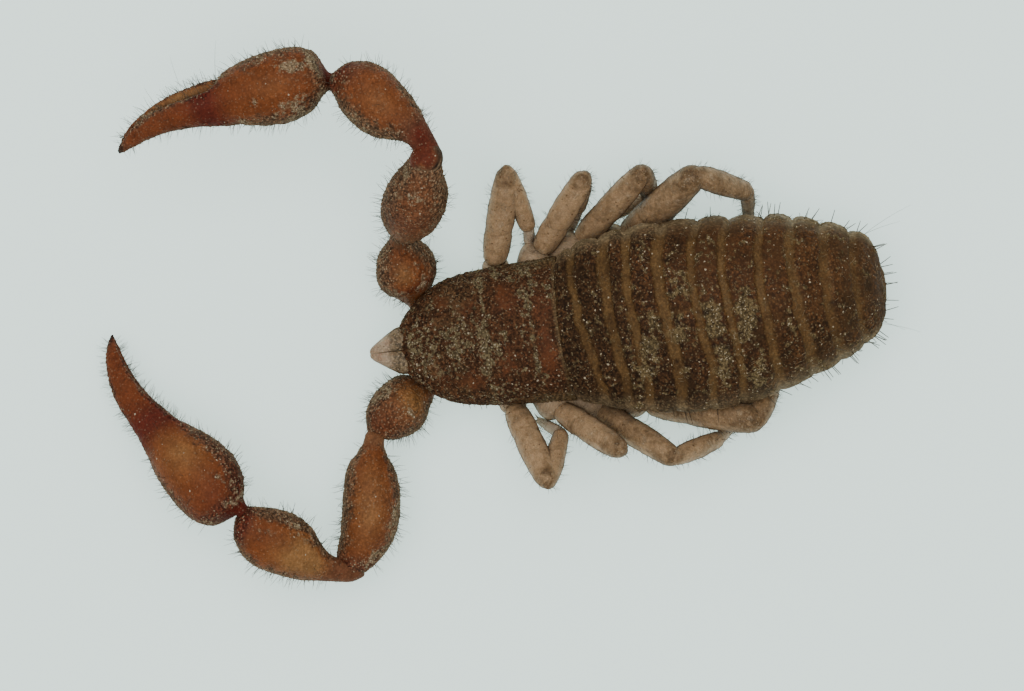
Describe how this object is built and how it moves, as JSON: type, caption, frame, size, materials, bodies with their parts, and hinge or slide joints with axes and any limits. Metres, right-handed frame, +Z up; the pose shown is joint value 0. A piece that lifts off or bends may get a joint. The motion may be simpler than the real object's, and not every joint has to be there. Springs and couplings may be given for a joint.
{
  "type": "pseudoscorpion model",
  "caption": "Still life-size model of a pseudoscorpion: flat brown banded body, red-brown pincer arms raised forward, short pale legs folded at the sides.",
  "frame": {"origin": "on the floor, under the middle of the whole footprint", "axes": "-Y ahead of the animal, +X to its left, +Z up"},
  "size_m": [0.0028, 0.004, 0.0009],
  "materials": {
    "cuticle_dark": "satin",
    "cuticle_red": "satin",
    "cuticle_pale": "satin"
  },
  "bodies": {
    "root": {"abdomen_01": "cuticle_dark", "abdomen_02": "cuticle_dark", "abdomen_03": "cuticle_dark", "abdomen_04": "cuticle_dark", "abdomen_05": "cuticle_dark", "abdomen_06": "cuticle_dark", "abdomen_07": "cuticle_dark", "abdomen_08": "cuticle_dark", "abdomen_09": "cuticle_dark", "abdomen_10": "cuticle_dark", "abdomen_11": "cuticle_dark", "abdomen_12": "cuticle_dark", "carapace": "cuticle_dark", "chelicera_left": "cuticle_pale", "chelicera_right": "cuticle_pale", "coxa_1_left": "cuticle_pale", "coxa_1_right": "cuticle_pale", "coxa_2_left": "cuticle_pale", "coxa_2_right": "cuticle_pale", "coxa_3_left": "cuticle_pale", "coxa_3_right": "cuticle_pale", "coxa_4_left": "cuticle_pale", "coxa_4_right": "cuticle_pale", "leg_1_femur_left": "cuticle_pale", "leg_1_femur_right": "cuticle_pale", "leg_1_tarsus_left": "cuticle_pale", "leg_1_tarsus_right": "cuticle_pale", "leg_1_tibia_left": "cuticle_pale", "leg_1_tibia_right": "cuticle_pale", "leg_2_femur_left": "cuticle_pale", "leg_2_femur_right": "cuticle_pale", "leg_2_tarsus_left": "cuticle_pale", "leg_2_tarsus_right": "cuticle_pale", "leg_2_tibia_left": "cuticle_pale", "leg_2_tibia_right": "cuticle_pale", "leg_3_femur_left": "cuticle_pale", "leg_3_femur_right": "cuticle_pale", "leg_3_tarsus_left": "cuticle_pale", "leg_3_tarsus_right": "cuticle_pale", "leg_3_tibia_left": "cuticle_pale", "leg_3_tibia_right": "cuticle_pale", "leg_4_femur_left": "cuticle_pale", "leg_4_femur_right": "cuticle_pale", "leg_4_tarsus_left": "cuticle_pale", "leg_4_tarsus_right": "cuticle_pale", "leg_4_tibia_left": "cuticle_pale", "leg_4_tibia_right": "cuticle_pale", "palp_coxa_left": "cuticle_pale", "palp_coxa_right": "cuticle_pale", "palp_femur_left": "cuticle_red", "palp_femur_right": "cuticle_red", "palp_finger_left": "cuticle_red", "palp_finger_right": "cuticle_red", "palp_hand_left": "cuticle_red", "palp_hand_right": "cuticle_red", "palp_patella_left": "cuticle_red", "palp_patella_right": "cuticle_red", "palp_trochanter_left": "cuticle_red", "palp_trochanter_right": "cuticle_red"}
  },
  "joints": []
}
